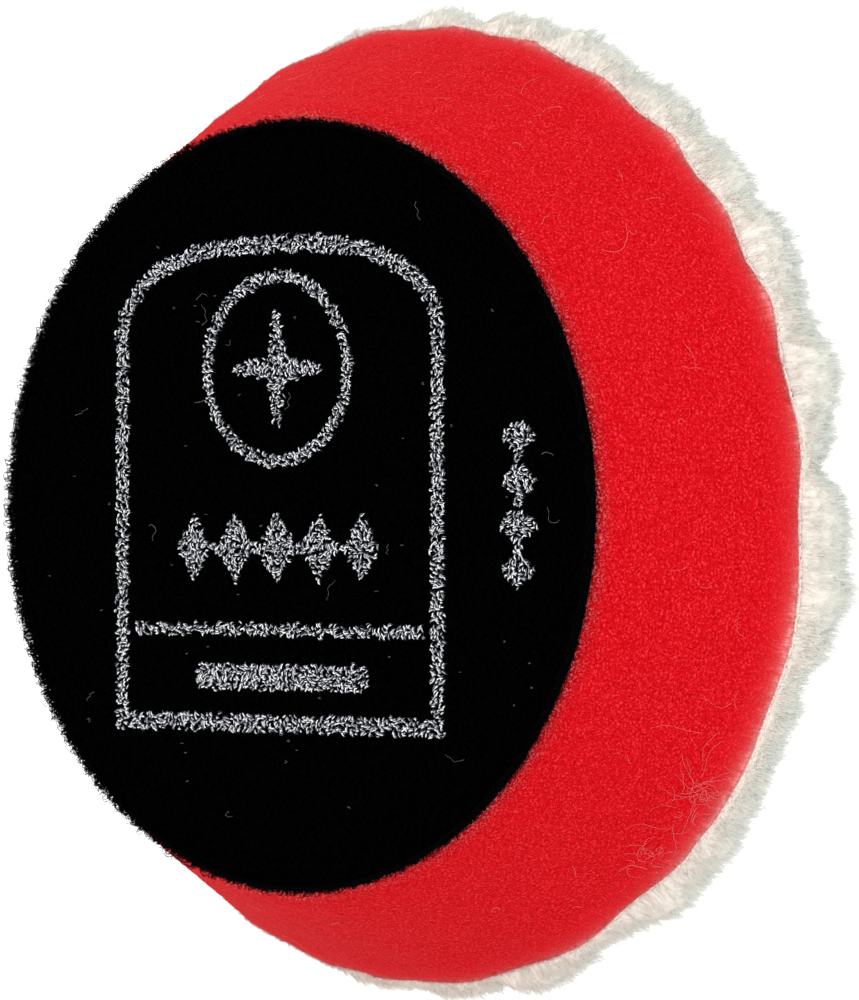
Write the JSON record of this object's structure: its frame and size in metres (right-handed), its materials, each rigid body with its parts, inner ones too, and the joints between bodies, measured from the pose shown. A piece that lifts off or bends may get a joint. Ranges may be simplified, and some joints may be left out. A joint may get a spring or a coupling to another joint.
{
  "type": "polishing pad",
  "caption": "Round wool-faced polishing pad on a conical foam core, with a hook-and-loop backing that a machine's backing plate grips.",
  "frame": {"origin": "centre of the looped backing's outer face", "axes": "+Y is the spin axis, from the looped backing to the wool face; +Z is the top of the emblem; the pad stands on its edge"},
  "size_m": [0.099, 0.03, 0.0984],
  "materials": {
    "loop_pile": "deep black brushed loop pile",
    "loop_ground_cloth": "black warp knit",
    "emblem_yarn": "white textured yarn loops",
    "hot_melt": "translucent hot-melt film",
    "foam": "fine open-cell red foam, cut face",
    "wool_ground_cloth": "natural knit",
    "wool_pile": "natural cream wool"
  },
  "bodies": {
    "backing": {"loop_pile": "loop_pile", "loop_ground_cloth": "loop_ground_cloth", "emblem_border": "emblem_yarn", "emblem_divider": "emblem_yarn", "emblem_ring": "emblem_yarn", "emblem_spark": "emblem_yarn", "emblem_diamond_band": "emblem_yarn", "emblem_lower_bar": "emblem_yarn", "emblem_side_band": "emblem_yarn", "backing_adhesive": "hot_melt", "foam_core": "foam"},
    "wool_face": {"face_adhesive": "hot_melt", "wool_ground_cloth": "wool_ground_cloth", "wool_pile": "wool_pile"}
  },
  "joints": [
    {"name": "foam_press", "type": "slide", "parent": "backing", "child": "wool_face", "axis": [0, -1, 0], "range_m": [0, 0.006], "stiffness_N_per_m": 2500, "deforming": ["foam_core"]}
  ]
}
